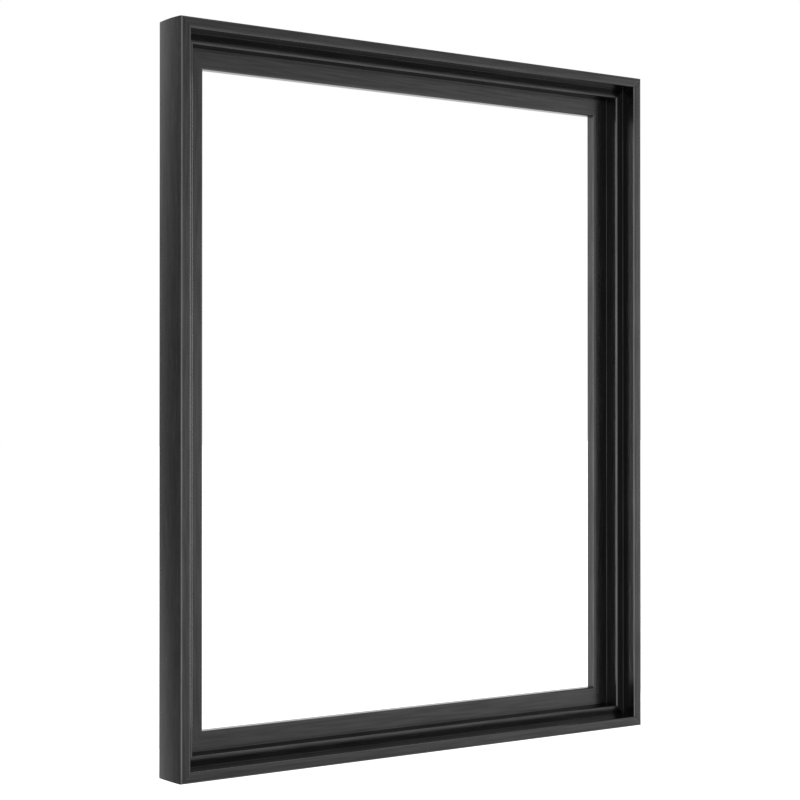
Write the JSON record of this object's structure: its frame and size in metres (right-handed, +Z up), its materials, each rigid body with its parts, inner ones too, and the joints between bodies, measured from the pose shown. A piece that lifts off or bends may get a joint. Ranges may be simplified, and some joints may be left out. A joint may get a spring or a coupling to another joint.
{
  "type": "floating frame",
  "caption": "Black mitred wooden floating frame for a stretched canvas, with a stepped recess, an open back, swinging D-ring hangers and corner bumpers.",
  "frame": {"origin": "middle of the frame in the plane of the wall, which the flat tops of the four bumpers touch", "axes": "+X to the right seen from the front, +Y out of the back and into the wall, +Z up; the front of the frame faces -Y"},
  "size_m": [0.442, 0.0374, 0.5436],
  "materials": {
    "black_painted_wood": "satin black paint over fine-grained wood, thinly stained black on the back",
    "nail_steel": "plain steel strip",
    "strap_steel": "bright zinc plate",
    "ring_steel": "bright zinc plate",
    "screw_steel": "zinc plate",
    "bumper_rubber": "matt moulded rubber"
  },
  "bodies": {
    "frame": {"rail_top": "black_painted_wood", "rail_bottom": "black_painted_wood", "rail_left": "black_painted_wood", "rail_right": "black_painted_wood", "v_nails_top_left": "nail_steel", "v_nails_top_right": "nail_steel", "v_nails_bottom_left": "nail_steel", "v_nails_bottom_right": "nail_steel", "bumper_top_left": "bumper_rubber", "bumper_top_right": "bumper_rubber", "bumper_bottom_left": "bumper_rubber", "bumper_bottom_right": "bumper_rubber", "hanger_strap_left": "strap_steel", "hanger_screws_left": "screw_steel", "hanger_strap_right": "strap_steel", "hanger_screws_right": "screw_steel"},
    "ring_left": {"d_ring_left": "ring_steel"},
    "ring_right": {"d_ring_right": "ring_steel"}
  },
  "joints": [
    {"name": "d_ring_left_swing", "type": "hinge", "parent": "frame", "child": "ring_left", "pos_m": [-0.21, -0.00314, 0.0906], "axis": [1, 0, 0], "range_deg": [0, 178]},
    {"name": "d_ring_right_swing", "type": "hinge", "parent": "frame", "child": "ring_right", "pos_m": [0.21, -0.00314, 0.0906], "axis": [1, 0, 0], "range_deg": [0, 178]}
  ]
}
